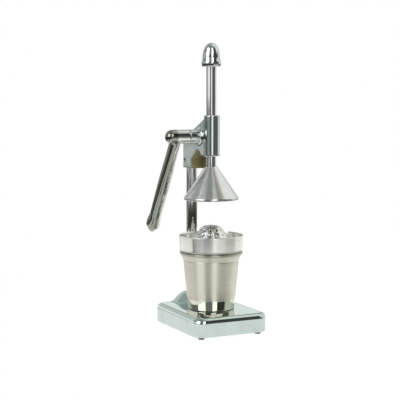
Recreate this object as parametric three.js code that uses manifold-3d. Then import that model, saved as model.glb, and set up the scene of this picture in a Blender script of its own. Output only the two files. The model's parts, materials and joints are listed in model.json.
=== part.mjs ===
// Citrus press juicer: a cast base with a column, a head with a rack-and-pinion ram worked by a
// long lever, a press cone, and a cup with a strainer on it that stands on the base.
// Millimetres, +Z up. Pieces are drawn with the ram's axis on X = 0, Y = 0 and the feet on Z = 0;
// the last lines move the whole press so that its origin is the bottom centre of its box.
import * as THREE from "three";
import { mergeVertices } from "three/addons/utils/BufferGeometryUtils.js";
import Module from "manifold-3d";

const wasm = await Module();
wasm.setup();

// ---- driving dimensions ----

const GAP = 0.3; // clearance between neighbouring pieces
const ROUND = 32; // sides of a round piece
const FINE = 48; // sides of the largest round pieces
const SMALL = 12; // sides of screws and small holes
const FAR = 200; // reach of a cutter that passes right through a piece

const BASE = {
  width: 110,
  front: -69.6,
  back: 75.1,
  bottom: 4.25,
  top: 29.7,
  corner: 16,
  fillet: 6.5,
  wall: 3,
  lobe: 22,
};
const FOOT = { x: 43, front: -57, back: 62, radius: 4.2, stem: 1.7, stemTop: 12, postRadius: 6 };
const COLUMN = { y: 62.6, radius: 7.6, foot: 30.3, top: 255 };
const COLUMN_BOSS = { radius: 14, bottom: 19, boltHole: 4.5 };
const BOLT = { radius: 4, head: 6.5, headHeight: 5, reach: 24, washer: 9, washerThickness: 1.6 };

const RAM = { radius: 7, bottom: 219.3, top: 379.7 };
const HEAD = {
  half: 11,
  cheek: 5.2,
  sleeve: 11,
  sleeveY: -1.9,
  sleeveBottom: 242.3,
  sleeveTop: 298.8,
  blockFront: 41.8,
  blockBack: 72.6,
  blockBottom: 223,
  backTop: 262,
  edge: 1.2,
};
const SET_SCREW = { radius: 2.5, columnZ: 233.3, leverX: -35 };
const SHAFT = { y: 16, z: 269.4, radius: 4.5, left: -51.7, right: 10.5 };
const BOSS_LEFT = { radius: 9.6, end: -27.2, filletRadius: 4 };
const BUSH = { outer: 6, bore: SHAFT.radius + GAP };
const GEAR = { module: 1.5, teeth: 15, pressure: THREE.MathUtils.degToRad(20), backlash: 0.15 };
GEAR.pitchRadius = (GEAR.module * GEAR.teeth) / 2;
GEAR.pitch = Math.PI * GEAR.module;
GEAR.addendum = 0.9 * GEAR.module;
GEAR.dedendum = 1.25 * GEAR.module;
GEAR.left = -6.5;
GEAR.right = 7.2;
const HOUSING = { radius: 13.2, left: GEAR.left - GAP };
const CAP = { inner: GEAR.right + GAP, outer: 12.5, spannerHole: 1.2, spannerOffset: 8.5 };

const LEVER = {
  x: -45.6,
  tilt: THREE.MathUtils.degToRad(32.2),
  length: 165.4,
  hubRadius: 9.6,
  hubRight: BOSS_LEFT.end - GAP,
  hubLeft: -62,
  boreDepth: 24.5,
};

const CONE = { top: 227.8, topRadius: 9, rimTop: 185, rimBottom: 182, rimRadius: 37.8, wall: 2 };
const CONE_SOCKET = { radius: RAM.radius + GAP, floor: 219, bottom: 215.5, boss: 11, hole: 2.8 };
const CONE_SCREW = { radius: 2.5, head: 4.6, headHeight: 3, reach: 13 };
const CUP = {
  bottom: 30,
  footRadius: 32.5,
  neck: 99.3,
  neckRadius: 39,
  rim: 110,
  rimRadius: 44,
  wall: 1.5,
  floor: 2,
};
const COLLAR = { bottom: 110.3, bottomRadius: 43.8, top: 133, topRadius: 45 };
// Rings of holes in the strainer's dome, each square to its surface there.
const HOLES = {
  radius: 1.6,
  sides: 6,
  rings: [
    { radius: 8.5, height: 145.5, tilt: 15, count: 6 },
    { radius: 16.2, height: 140.5, tilt: 50, count: 12 },
    { radius: 20.3, height: 134, tilt: 58, count: 12 },
    { radius: 25.6, height: 125.6, tilt: 56, count: 12 },
  ],
};

// ---- materials ----

const material = (color, roughness, metalness) =>
  new THREE.MeshStandardMaterial({ color, roughness, metalness });
const chrome = () => material(0xc9cfcd, 0.08, 1);
const brushedSteel = () => material(0xb8b5a4, 0.35, 1);
const satinAluminium = () => material(0xc4c4c2, 0.3, 1);
const plainSteel = () => material(0x8f9294, 0.4, 1);
const bronze = () => material(0xa9824b, 0.4, 1);
const rubber = () => material(0x8b8c8a, 0.8, 0);

// ---- solids ----

// A closed three.js geometry as a solid that can be joined and cut.
function solid(geometry) {
  const bare = geometry.index ? geometry.toNonIndexed() : geometry.clone();
  bare.deleteAttribute("normal");
  bare.deleteAttribute("uv");
  const merged = mergeVertices(bare, 1e-4);
  const corners = merged.index.array;
  const triangles = [];
  for (let i = 0; i < corners.length; i += 3) {
    const [a, b, c] = corners.subarray(i, i + 3);
    if (a !== b && b !== c && c !== a) triangles.push(a, b, c);
  }
  const vertProperties = merged.attributes.position.array;
  return new wasm.Manifold(
    new wasm.Mesh({ numProp: 3, vertProperties, triVerts: new Uint32Array(triangles) }),
  );
}

function geometryOf(body) {
  const { vertProperties, triVerts } = body.getMesh();
  return new THREE.BufferGeometry()
    .setAttribute("position", new THREE.BufferAttribute(vertProperties, 3))
    .setIndex(new THREE.BufferAttribute(triVerts, 1));
}

const points = (pairs) => pairs.map(([x, y]) => new THREE.Vector2(x, y));

// A turned piece about +Z from [radius, height] pairs that run anticlockwise round the section.
function turned(pairs, sides = ROUND) {
  return new THREE.LatheGeometry(points(pairs), sides).rotateX(Math.PI / 2);
}

// The same about +X: the pairs are [radius, x].
function turnedAlongX(pairs, sides = ROUND) {
  return turned(pairs, sides).rotateY(Math.PI / 2);
}

const barPairs = (radius, from, to) => [[0, from], [radius, from], [radius, to], [0, to]];
const tubePairs = (inner, outer, from, to) => [
  [inner, from],
  [outer, from],
  [outer, to],
  [inner, to],
  [inner, from],
];
const bar = (radius, from, to, sides = ROUND) => solid(turned(barPairs(radius, from, to), sides));

function barAt(x, y, radius, from, to, sides = SMALL) {
  return solid(turned(barPairs(radius, from, to), sides).translate(x, y, 0));
}

// A bar parallel to X on the pinion shaft's axis.
function barOnShaft(radius, from, to, sides = ROUND) {
  return solid(turnedAlongX(barPairs(radius, from, to), sides).translate(0, SHAFT.y, SHAFT.z));
}

// Extrudes a section drawn as (Y, Z) from one X to another.
function sideways(shape, from, to) {
  const axes = new THREE.Matrix4().makeBasis(
    new THREE.Vector3(0, 1, 0),
    new THREE.Vector3(0, 0, 1),
    new THREE.Vector3(1, 0, 0),
  );
  return new THREE.ExtrudeGeometry(shape, { depth: to - from, bevelEnabled: false, curveSegments: 6 })
    .applyMatrix4(axes)
    .translate(from, 0, 0);
}

function box(low, high) {
  const size = high.map((value, i) => value - low[i]);
  const middle = high.map((value, i) => (value + low[i]) / 2);
  return solid(new THREE.BoxGeometry(...size).translate(...middle));
}

const press = new THREE.Group();

function addPiece(name, body, look) {
  const mesh = new THREE.Mesh(geometryOf(body), look);
  mesh.name = name;
  press.add(mesh);
}

// ---- base ----

function roundedRectangle(half, front, back, radius) {
  const shape = new THREE.Shape();
  shape.moveTo(-half + radius, front);
  shape.lineTo(half - radius, front);
  shape.absarc(half - radius, front + radius, radius, -Math.PI / 2, 0);
  shape.lineTo(half, back - radius);
  shape.absarc(half - radius, back - radius, radius, 0, Math.PI / 2);
  shape.lineTo(-half + radius, back);
  shape.absarc(-half + radius, back - radius, radius, Math.PI / 2, Math.PI);
  shape.lineTo(-half, front + radius);
  shape.absarc(-half + radius, front + radius, radius, Math.PI, 1.5 * Math.PI);
  return shape;
}

function disc(x, y, radius) {
  return new THREE.Shape().absarc(x, y, radius, 0, 2 * Math.PI);
}

// A block of the given outline with a rounded top edge. It reaches below the base's bottom edge.
function filletedBlock(shape, top, fillet) {
  const geometry = new THREE.ExtrudeGeometry(shape, {
    depth: top,
    bevelThickness: fillet,
    bevelSize: fillet,
    bevelOffset: -fillet,
    bevelSegments: 3,
    curveSegments: 6,
  });
  return solid(geometry.translate(0, 0, -fillet));
}

function baseOutline(inset, top, fillet) {
  const half = BASE.width / 2 - inset;
  const corner = BASE.corner - inset;
  const rectangle = roundedRectangle(half, BASE.front + inset, BASE.back - inset, corner);
  const lobe = disc(0, COLUMN.y, BASE.lobe - inset);
  return filletedBlock(rectangle, top, fillet).add(filletedBlock(lobe, top, fillet));
}

// The bell-shaped rise round the column, as [radius, height above the base's top].
const HUMP = [
  [33, 0],
  [30, 0.6],
  [24.8, 3.4],
  [20.4, 8.3],
  [15.9, 11.6],
  [10.5, 13.5],
  [0, 14],
];

function makeBaseShell() {
  const rise = HUMP.map(([radius, height]) => [radius, BASE.top + height]);
  const under = [[0, BASE.top - BASE.fillet], [HUMP[0][0], BASE.top - BASE.fillet]];
  const hump = solid(turned([...under, ...rise]).translate(0, COLUMN.y, 0));
  const tall = baseOutline(0.5, BASE.top + 30, 2);
  let shell = baseOutline(0, BASE.top, BASE.fillet).add(hump.intersect(tall));
  let hollow = baseOutline(BASE.wall, BASE.top - BASE.wall, BASE.fillet - BASE.wall);
  hollow = hollow.subtract(barAt(0, COLUMN.y, COLUMN_BOSS.radius, COLUMN_BOSS.bottom, BASE.top, ROUND));
  for (const [x, y] of footPlaces()) {
    hollow = hollow.subtract(barAt(x, y, FOOT.postRadius, BASE.bottom + GAP, BASE.top, SMALL));
  }
  shell = shell.subtract(hollow);
  for (const [x, y] of footPlaces()) {
    shell = shell.subtract(barAt(x, y, FOOT.stem + GAP, 0, FOOT.stemTop + GAP));
  }
  shell = shell.subtract(barAt(0, COLUMN.y, COLUMN.radius + GAP, COLUMN.foot - GAP, BASE.top + 20, ROUND));
  shell = shell.subtract(barAt(0, COLUMN.y, COLUMN_BOSS.boltHole, 0, COLUMN.foot));
  return shell.subtract(box([-FAR, -FAR, -FAR], [FAR, FAR, BASE.bottom]));
}

const footPlaces = () => [
  [-FOOT.x, FOOT.front],
  [FOOT.x, FOOT.front],
  [-FOOT.x, FOOT.back],
  [FOOT.x, FOOT.back],
];
const FOOT_NAMES = ["foot_front_left", "foot_front_right", "foot_rear_left", "foot_rear_right"];

addPiece("base_shell", makeBaseShell(), chrome());
footPlaces().forEach(([x, y], i) => {
  const profile = [
    [0, 0],
    [FOOT.radius - 0.6, 0],
    [FOOT.radius, 0.8],
    [FOOT.radius, BASE.bottom],
    [FOOT.stem, BASE.bottom],
    [FOOT.stem, FOOT.stemTop],
    [0, FOOT.stemTop],
  ];
  addPiece(FOOT_NAMES[i], solid(turned(profile, 20).translate(x, y, 0)), rubber());
});

// ---- column, with the bolt that pulls it down into the base ----

const boltTop = COLUMN.foot + BOLT.reach;
addPiece(
  "column",
  barAt(0, COLUMN.y, COLUMN.radius, COLUMN.foot, COLUMN.top, ROUND).subtract(
    barAt(0, COLUMN.y, BOLT.radius + GAP, COLUMN.foot - 1, boltTop + GAP),
  ),
  chrome(),
);
const washerTop = COLUMN_BOSS.bottom - GAP;
const washerBottom = washerTop - BOLT.washerThickness;
const washerPairs = tubePairs(COLUMN_BOSS.boltHole, BOLT.washer, washerBottom, washerTop);
addPiece("column_washer", solid(turned(washerPairs, 24).translate(0, COLUMN.y, 0)), plainSteel());
const boltHeadTop = washerBottom - GAP;
addPiece(
  "column_bolt",
  barAt(0, COLUMN.y, BOLT.head, boltHeadTop - BOLT.headHeight, boltHeadTop, 6).add(
    barAt(0, COLUMN.y, BOLT.radius, boltHeadTop - 1, boltTop),
  ),
  plainSteel(),
);

// ---- head casting ----

function headSide() {
  const shape = new THREE.Shape();
  shape.moveTo(0, HEAD.sleeveBottom);
  shape.lineTo(10.5, HEAD.sleeveBottom);
  shape.lineTo(14, 235);
  shape.lineTo(27, HEAD.blockBottom);
  shape.lineTo(HEAD.blockBack, HEAD.blockBottom);
  shape.lineTo(HEAD.blockBack, HEAD.backTop);
  shape.lineTo(3.3, 293);
  shape.lineTo(0, 294);
  return shape;
}

// The arch is open on the left and ends at the inner face of the head's right cheek.
function headArch() {
  const shape = new THREE.Shape();
  shape.moveTo(5, 241.5);
  shape.lineTo(10.2, 242);
  shape.quadraticCurveTo(14.5, 250.2, 21, 250.2);
  shape.quadraticCurveTo(33, 249.4, HEAD.blockFront, 236);
  shape.lineTo(HEAD.blockFront, HEAD.blockBottom - 1);
  shape.lineTo(5, HEAD.blockBottom - 1);
  return solid(sideways(shape, -FAR, HEAD.cheek));
}

function headPlan() {
  const plan = roundedRectangle(HEAD.half, -30, HEAD.blockBack, 6);
  const settings = { depth: 120, bevelEnabled: false, curveSegments: 5 };
  return solid(new THREE.ExtrudeGeometry(plan, settings).translate(0, 0, 200));
}

function makeHeadCasting() {
  const sleevePairs = [
    [0, HEAD.sleeveBottom],
    [HEAD.sleeve, HEAD.sleeveBottom],
    [HEAD.sleeve, HEAD.sleeveTop - HEAD.edge],
    [HEAD.sleeve - HEAD.edge, HEAD.sleeveTop],
    [0, HEAD.sleeveTop],
  ];
  const sleeve = solid(turned(sleevePairs).translate(0, HEAD.sleeveY, 0));
  const rootRadius = BOSS_LEFT.radius + BOSS_LEFT.filletRadius;
  const fillet = [];
  for (let i = 0; i <= 4; i += 1) {
    const angle = (i / 4) * (Math.PI / 2);
    fillet.push([
      rootRadius - BOSS_LEFT.filletRadius * Math.sin(angle),
      -HEAD.half - BOSS_LEFT.filletRadius * (1 - Math.cos(angle)),
    ]);
  }
  const bossEnd = [[BOSS_LEFT.radius, BOSS_LEFT.end], [0, BOSS_LEFT.end]];
  const bossPairs = [[0, 0], [rootRadius, 0], ...fillet, ...bossEnd].reverse();
  const boss = solid(turnedAlongX(bossPairs).translate(0, SHAFT.y, SHAFT.z));
  return solid(sideways(headSide(), -HEAD.half, HEAD.half))
    .intersect(headPlan())
    .subtract(headArch())
    .add(sleeve)
    .add(boss)
    .subtract(bar(RAM.radius + GAP, 0, 2 * FAR))
    .subtract(barOnShaft(HOUSING.radius, HOUSING.left, FAR))
    .subtract(barOnShaft(BUSH.outer + GAP, -FAR, 0))
    .subtract(barAt(0, COLUMN.y, COLUMN.radius + GAP, 0, COLUMN.top + GAP, ROUND))
    .subtract(columnScrewBar(SET_SCREW.radius + GAP, -FAR, -COLUMN.radius));
}

// The set screw that holds the head on the column lies along X on the head's left side.
function columnScrewBar(radius, from, to) {
  return solid(turnedAlongX(barPairs(radius, from, to), SMALL).translate(0, COLUMN.y, SET_SCREW.columnZ));
}

addPiece("head_casting", makeHeadCasting(), chrome());
addPiece(
  "column_set_screw",
  columnScrewBar(SET_SCREW.radius, -HEAD.half + 0.6, -COLUMN.radius - GAP),
  plainSteel(),
);

function shaftTube(inner, outer, from, to) {
  return solid(turnedAlongX(tubePairs(inner, outer, from, to)).translate(0, SHAFT.y, SHAFT.z));
}

addPiece(
  "shaft_bush_left",
  shaftTube(BUSH.bore, BUSH.outer, BOSS_LEFT.end + GAP, HOUSING.left - GAP),
  bronze(),
);
const spannerHole = (offset) => {
  const pairs = barPairs(CAP.spannerHole, CAP.outer - 1.5, FAR);
  return solid(turnedAlongX(pairs, SMALL).translate(0, SHAFT.y + offset, SHAFT.z));
};
addPiece(
  "bearing_cap",
  barOnShaft(HOUSING.radius - GAP, CAP.inner, CAP.outer)
    .subtract(barOnShaft(BUSH.outer + GAP, 0, SHAFT.right + GAP))
    .subtract(spannerHole(-CAP.spannerOffset))
    .subtract(spannerHole(CAP.spannerOffset)),
  chrome(),
);
addPiece("shaft_bush_right", shaftTube(BUSH.bore, BUSH.outer, CAP.inner + GAP, SHAFT.right - GAP), bronze());

// ---- pinion and rack ----

const involute = (angle) => Math.tan(angle) - angle;

// Half the angle that a pinion tooth takes up at a radius.
function toothHalfAngle(radius) {
  const base = GEAR.pitchRadius * Math.cos(GEAR.pressure);
  const thickness = GEAR.pitch / 2 - GEAR.backlash;
  const atPitch = thickness / 2 / GEAR.pitchRadius;
  const here = radius > base ? involute(Math.acos(base / radius)) : 0;
  return atPitch + involute(GEAR.pressure) - here;
}

// The pinion's outline as (Y, Z) round its own centre, with one tooth pointing along -Y.
function pinionOutline() {
  const outline = [];
  const root = GEAR.pitchRadius - GEAR.dedendum;
  const tip = GEAR.pitchRadius + GEAR.addendum;
  const radii = [root, GEAR.pitchRadius - 0.6, GEAR.pitchRadius + 0.4, tip];
  for (let tooth = 0; tooth < GEAR.teeth; tooth += 1) {
    const middle = Math.PI + (tooth * 2 * Math.PI) / GEAR.teeth;
    const flank = radii.map((radius) => [radius, toothHalfAngle(radius)]);
    const rising = flank.map(([radius, half]) => [radius, middle - half]);
    const falling = [...flank].reverse().map(([radius, half]) => [radius, middle + half]);
    for (const [radius, angle] of [...rising, ...falling]) {
      outline.push([radius * Math.cos(angle), radius * Math.sin(angle)]);
    }
  }
  return new THREE.Shape(points(outline));
}

const PINION_PIN = { x: 0.3, radius: 1.5, half: 7.5 };

function pinionPinBar(radius, half) {
  return solid(turned(barPairs(radius, -half, half), SMALL).translate(PINION_PIN.x, SHAFT.y, SHAFT.z));
}

const pinionGeometry = sideways(pinionOutline(), GEAR.left, GEAR.right).translate(0, SHAFT.y, SHAFT.z);
addPiece(
  "pinion",
  solid(pinionGeometry)
    .subtract(barOnShaft(SHAFT.radius + GAP, -FAR, FAR))
    .subtract(pinionPinBar(PINION_PIN.radius + GAP, PINION_PIN.half + GAP)),
  plainSteel(),
);
addPiece("pinion_pin", pinionPinBar(PINION_PIN.radius, PINION_PIN.half), plainSteel());
addPiece(
  "pinion_shaft",
  barOnShaft(SHAFT.radius, SHAFT.left, SHAFT.right).subtract(
    pinionPinBar(PINION_PIN.radius + GAP, FAR),
  ),
  plainSteel(),
);

const RACK = { firstGap: -2, lastGap: 14, y: SHAFT.y - GEAR.pitchRadius };

// What the rack's cutter takes off the rear of the rod: a flat at the tips and a gap at each pitch.
function rackCutter() {
  const shape = new THREE.Shape();
  const tip = RACK.y + GEAR.addendum;
  const root = RACK.y - GEAR.dedendum;
  const slope = Math.tan(GEAR.pressure);
  const gapAtPitch = GEAR.pitch / 2 + GEAR.backlash;
  const halfAt = (y) => gapAtPitch / 2 + (y - RACK.y) * slope;
  const far = RAM.radius + 3;
  const first = SHAFT.z + RACK.firstGap * GEAR.pitch;
  const last = SHAFT.z + RACK.lastGap * GEAR.pitch;
  shape.moveTo(far, first - GEAR.pitch);
  shape.lineTo(far, last + GEAR.pitch);
  shape.lineTo(tip, last + GEAR.pitch / 2);
  for (let gap = RACK.lastGap; gap >= RACK.firstGap; gap -= 1) {
    const middle = SHAFT.z + gap * GEAR.pitch;
    shape.lineTo(tip, middle + halfAt(tip));
    shape.lineTo(root, middle + halfAt(root));
    shape.lineTo(root, middle - halfAt(root));
    shape.lineTo(tip, middle - halfAt(tip));
  }
  shape.lineTo(tip, first - GEAR.pitch / 2);
  return solid(sideways(shape, -FAR, FAR));
}

addPiece(
  "ram_rod",
  bar(RAM.radius, RAM.bottom, RAM.top)
    .subtract(rackCutter())
    .subtract(barAt(0, 0, CONE_SCREW.radius + GAP, RAM.bottom - 1, RAM.bottom + CONE_SCREW.reach + GAP)),
  chrome(),
);

// ---- knob on top of the ram ----

const knobProfile = [
  [0, 380],
  [RAM.radius + GAP, 380],
  [RAM.radius + GAP, 365.4],
  [12.4, 365.4],
  [13.3, 366.8],
  [13.6, 370.6],
  [13.1, 373.4],
  [12.3, 376],
  [12.1, 379],
  [11.7, 384],
  [10.6, 389],
  [8.4, 393.2],
  [5, 396.5],
  [0, 397.7],
];
addPiece("ram_knob", solid(turned(knobProfile)), chrome());

// ---- press cone ----

const coneSlope = (CONE.top - CONE.rimTop) / (CONE.rimRadius - CONE.topRadius);
const coneWallHeight = CONE.wall * Math.hypot(1, coneSlope);
const coneInnerZ = (radius) => CONE.top - (radius - CONE.topRadius) * coneSlope - coneWallHeight;
const coneInnerRim = CONE.rimRadius - CONE.wall;
const coneProfile = [
  [CONE_SOCKET.hole, CONE_SOCKET.bottom],
  [CONE_SOCKET.boss, CONE_SOCKET.bottom],
  [CONE_SOCKET.boss, coneInnerZ(CONE_SOCKET.boss)],
  [coneInnerRim, coneInnerZ(coneInnerRim)],
  [coneInnerRim, CONE.rimBottom],
  [CONE.rimRadius, CONE.rimBottom],
  [CONE.rimRadius, CONE.rimTop],
  [CONE.topRadius, CONE.top],
  [CONE_SOCKET.radius, CONE.top],
  [CONE_SOCKET.radius, CONE_SOCKET.floor],
  [CONE_SOCKET.hole, CONE_SOCKET.floor],
  [CONE_SOCKET.hole, CONE_SOCKET.bottom],
];
addPiece("press_cone", solid(turned(coneProfile, FINE)), satinAluminium());
const coneScrewTop = CONE_SOCKET.bottom - GAP;
addPiece(
  "cone_screw",
  barAt(0, 0, CONE_SCREW.head, coneScrewTop - CONE_SCREW.headHeight, coneScrewTop, 24).add(
    barAt(0, 0, CONE_SCREW.radius, coneScrewTop - 1, RAM.bottom + CONE_SCREW.reach),
  ),
  plainSteel(),
);

// ---- lever ----

// Half sizes of the lever's section, [across X, in its plane], at a distance from the shaft.
const LEVER_SECTIONS = [
  [0, 6.4, 8.9],
  [30, 6.5, 9],
  [75, 7.6, 9.4],
  [110, 7.6, 9.4],
  [135, 7.3, 9.2],
  [144.4, 7.7, 9.5],
  [154.4, 8.5, 10],
  [160.4, 7.3, 8.7],
  [163.9, 4.5, 5.5],
  [LEVER.length, 1.2, 1.6],
];

// The blade: a closed tube whose sections follow LEVER_SECTIONS, hanging down from the shaft.
function leverBlade() {
  const unitPairs = [[0, 0], ...LEVER_SECTIONS.map(([along]) => [1, along]), [0, LEVER.length]];
  const geometry = turned(unitPairs, 20);
  const place = geometry.attributes.position;
  for (let i = 0; i < place.count; i += 1) {
    const along = place.getZ(i);
    const [, across, inPlane] = LEVER_SECTIONS.find(([station]) => Math.abs(station - along) < 0.01);
    place.setXYZ(i, place.getX(i) * across, place.getY(i) * inPlane, along);
  }
  return geometry.rotateX(Math.PI);
}

const hubEnd = [];
for (let i = 0; i <= 5; i += 1) {
  const angle = (i / 5) * (Math.PI / 2);
  hubEnd.push([
    LEVER.hubRadius * Math.cos(angle),
    LEVER.hubLeft + LEVER.hubRadius * (1 - Math.sin(angle)),
  ]);
}
const hubPairs = [...hubEnd.reverse(), [LEVER.hubRadius, LEVER.hubRight], [0, LEVER.hubRight]];
const boreEnd = LEVER.hubRight - LEVER.boreDepth;

// Turns a piece drawn round the shaft with the lever hanging straight down to the lever's rest tilt.
const toLever = (geometry) => geometry.rotateX(LEVER.tilt).translate(0, SHAFT.y, SHAFT.z);

function leverScrewBar(radius, from, to) {
  const upright = turned(barPairs(radius, from, to), SMALL);
  return solid(toLever(upright.rotateX(-Math.PI / 2).translate(SET_SCREW.leverX, 0, 0)));
}

addPiece(
  "lever_handle",
  solid(toLever(turnedAlongX(hubPairs)))
    .add(solid(toLever(leverBlade().translate(LEVER.x, 0, 0))))
    .subtract(barOnShaft(SHAFT.radius + GAP, boreEnd, 0))
    .subtract(leverScrewBar(SET_SCREW.radius + GAP, 0, FAR)),
  chrome(),
);
addPiece(
  "lever_set_screw",
  leverScrewBar(SET_SCREW.radius, SHAFT.radius + GAP, LEVER.hubRadius - 0.8),
  plainSteel(),
);

// ---- cup ----

const cupProfile = [
  [0, CUP.bottom],
  [CUP.footRadius - 1.2, CUP.bottom],
  [CUP.footRadius, CUP.bottom + 1.2],
  [CUP.neckRadius - 0.2, CUP.neck - 2.5],
  [CUP.neckRadius - 0.5, CUP.neck - 1],
  [CUP.neckRadius + 0.3, CUP.neck],
  [CUP.rimRadius - 1.1, CUP.rim - 3.4],
  [CUP.rimRadius, CUP.rim - 2.4],
  [CUP.rimRadius, CUP.rim - 1.2],
  [CUP.rimRadius - 0.9, CUP.rim],
  [CUP.rimRadius - 1.7, CUP.rim],
  [CUP.rimRadius - 2, CUP.rim - 1.4],
  [CUP.neckRadius - CUP.wall, CUP.neck + 0.4],
  [CUP.footRadius - CUP.wall, CUP.bottom + 4],
  [CUP.footRadius - 4.5, CUP.bottom + CUP.floor],
  [0, CUP.bottom + CUP.floor],
];
addPiece("cup", solid(turned(cupProfile, FINE)), brushedSteel());

// ---- strainer: a collar, a shallow trough and a perforated dome, spun from one sheet ----

// Top side of the dome from the trough to its crown, [radius, height].
const DOME = [
  [38, 114.8],
  [31, 118],
  [26, 125],
  [21.5, 132],
  [19, 136],
  [16.2, 140.5],
  [11.8, 144.6],
  [6, 146.2],
  [0, 146.5],
];
const SHEET = 1.6;
const underDome = [...DOME].reverse().map(([radius, height]) => [Math.max(radius - 1, 0), height - SHEET]);
const strainerProfile = [
  ...underDome,
  [38, 112.2],
  [36.6, 104],
  [38.2, 104],
  [40.6, 109.4],
  [41, COLLAR.bottom],
  [COLLAR.bottomRadius - 1, COLLAR.bottom],
  [COLLAR.bottomRadius, COLLAR.bottom + 1.4],
  [COLLAR.topRadius, COLLAR.top - 1.6],
  [COLLAR.topRadius - 0.6, COLLAR.top],
  [COLLAR.topRadius - 1.7, COLLAR.top],
  [42.2, 115.2],
  ...DOME,
];

function makeStrainer() {
  let body = solid(turned(strainerProfile, FINE));
  for (const { radius, height, tilt, count } of HOLES.rings) {
    for (let i = 0; i < count; i += 1) {
      const punch = turned(barPairs(HOLES.radius, -4, 4), HOLES.sides)
        .rotateY(THREE.MathUtils.degToRad(tilt))
        .translate(radius, 0, height)
        .rotateZ((i * 2 * Math.PI) / count);
      body = body.subtract(solid(punch));
    }
  }
  return body;
}

addPiece("strainer", makeStrainer(), brushedSteel());

// ---- the press, with its origin at the bottom centre of its box ----

const extent = new THREE.Box3().setFromObject(press);
const centre = extent.getCenter(new THREE.Vector3());
press.position.set(-centre.x, -centre.y, -extent.min.z);

const citrusPress = new THREE.Group();
citrusPress.add(press);

export default citrusPress;
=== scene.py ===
"""Looks of a citrus press juicer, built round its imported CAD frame.

Shapes are worked out in millimetres from the ram's axis ("press space"): X to the right, Y from the
cup towards the column, Z up from the surface that the press stands on. place() turns them into the
row frame in metres. Turned pieces are lathed from filleted outlines, and castings are skinned from
distance fields.
"""

import json
import math

import bmesh
import bpy
import numpy as np
from mathutils import Matrix, Vector


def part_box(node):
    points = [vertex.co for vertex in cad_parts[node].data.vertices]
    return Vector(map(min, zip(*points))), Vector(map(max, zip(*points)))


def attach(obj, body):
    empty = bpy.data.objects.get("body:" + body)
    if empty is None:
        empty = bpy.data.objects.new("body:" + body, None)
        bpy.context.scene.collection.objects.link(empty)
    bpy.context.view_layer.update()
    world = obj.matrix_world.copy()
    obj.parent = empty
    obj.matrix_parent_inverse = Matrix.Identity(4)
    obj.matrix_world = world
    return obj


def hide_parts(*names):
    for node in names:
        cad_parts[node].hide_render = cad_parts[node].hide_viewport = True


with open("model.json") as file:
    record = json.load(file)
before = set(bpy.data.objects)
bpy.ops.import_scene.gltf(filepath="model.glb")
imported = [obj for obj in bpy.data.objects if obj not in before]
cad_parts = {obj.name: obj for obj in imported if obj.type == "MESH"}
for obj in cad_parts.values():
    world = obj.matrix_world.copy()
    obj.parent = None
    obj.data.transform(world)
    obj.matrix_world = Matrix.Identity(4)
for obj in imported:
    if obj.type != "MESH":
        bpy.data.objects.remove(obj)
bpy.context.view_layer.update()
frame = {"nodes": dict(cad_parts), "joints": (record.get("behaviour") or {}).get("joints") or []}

MM = 0.001


# ---- places and sizes read from the frame ----

def centre_of(node):
    low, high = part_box(node)
    return (low + high) / 2


RAM_AXIS = centre_of("ram_knob")
ORIGIN = np.array([RAM_AXIS.x, RAM_AXIS.y, 0.0])


def span(node):
    """Lowest and highest corner of a CAD node in press space."""
    low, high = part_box(node)
    return (np.array(low) - ORIGIN) / MM, (np.array(high) - ORIGIN) / MM


def place(points):
    return np.asarray(points, float) * MM + ORIGIN


def joint_point(name):
    found = next(j for j in frame["joints"] if j["name"] == name)
    return (np.array(found["pos_m"]) - ORIGIN) / MM


COLUMN_LOW, COLUMN_HIGH = span("column")
COLUMN_Y = (COLUMN_LOW[1] + COLUMN_HIGH[1]) / 2
COLUMN_R = (COLUMN_HIGH[0] - COLUMN_LOW[0]) / 2
SHAFT_Y, SHAFT_Z = joint_point("lever_pivot")[1:]
BASE_LOW, BASE_HIGH = span("base_shell")
FOOT_NODES = ["foot_front_left", "foot_front_right", "foot_rear_left", "foot_rear_right"]
CUP_LOW, CUP_HIGH = span("cup")
STRAINER_LOW, STRAINER_HIGH = span("strainer")
CONE_LOW, CONE_HIGH = span("press_cone")
ROD_LOW, ROD_HIGH = span("ram_rod")
ROD_R = ROD_HIGH[0]
KNOB_LOW, KNOB_HIGH = span("ram_knob")
HEAD_LOW, HEAD_HIGH = span("head_casting")
LEVER_LOW, LEVER_HIGH = span("lever_handle")


# ---- distance fields ----

def round_max(a, b, radius):
    """Both at once, with the outer corner rounded."""
    flat = np.minimum(np.maximum(a, b), -radius)
    return flat + np.hypot(np.maximum(a + radius, 0), np.maximum(b + radius, 0))


def round_min(a, b, radius):
    """Either one, with a fillet in the inner corner."""
    flat = np.maximum(np.minimum(a, b), radius)
    return flat - np.hypot(np.maximum(radius - a, 0), np.maximum(radius - b, 0))


def rectangle(x, y, low, high, corner):
    """Distance to a rectangle with rounded corners, from its low and high corner."""
    across = np.abs(x - (low[0] + high[0]) / 2) - ((high[0] - low[0]) / 2 - corner)
    along = np.abs(y - (low[1] + high[1]) / 2) - ((high[1] - low[1]) / 2 - corner)
    outside = np.hypot(np.maximum(across, 0), np.maximum(along, 0))
    return outside + np.minimum(np.maximum(across, along), 0) - corner


def polygon(x, y, corners):
    """Signed distance to a closed outline."""
    nearest = np.full(np.shape(x), 1e9)
    inside = np.zeros(np.shape(x), bool)
    for (ax, ay), (bx, by) in zip(corners, corners[1:] + corners[:1]):
        dx, dy = bx - ax, by - ay
        t = np.clip(((x - ax) * dx + (y - ay) * dy) / (dx * dx + dy * dy), 0, 1)
        nearest = np.minimum(nearest, np.hypot(x - ax - t * dx, y - ay - t * dy))
        if ay != by:
            crosses = (ay > y) != (by > y)
            inside ^= crosses & (x < ax + (y - ay) * dx / dy)
    return np.where(inside, -nearest, nearest)


def ease(low, high, value):
    t = np.clip((value - low) / (high - low), 0, 1)
    return t * t * (3 - 2 * t)


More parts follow.
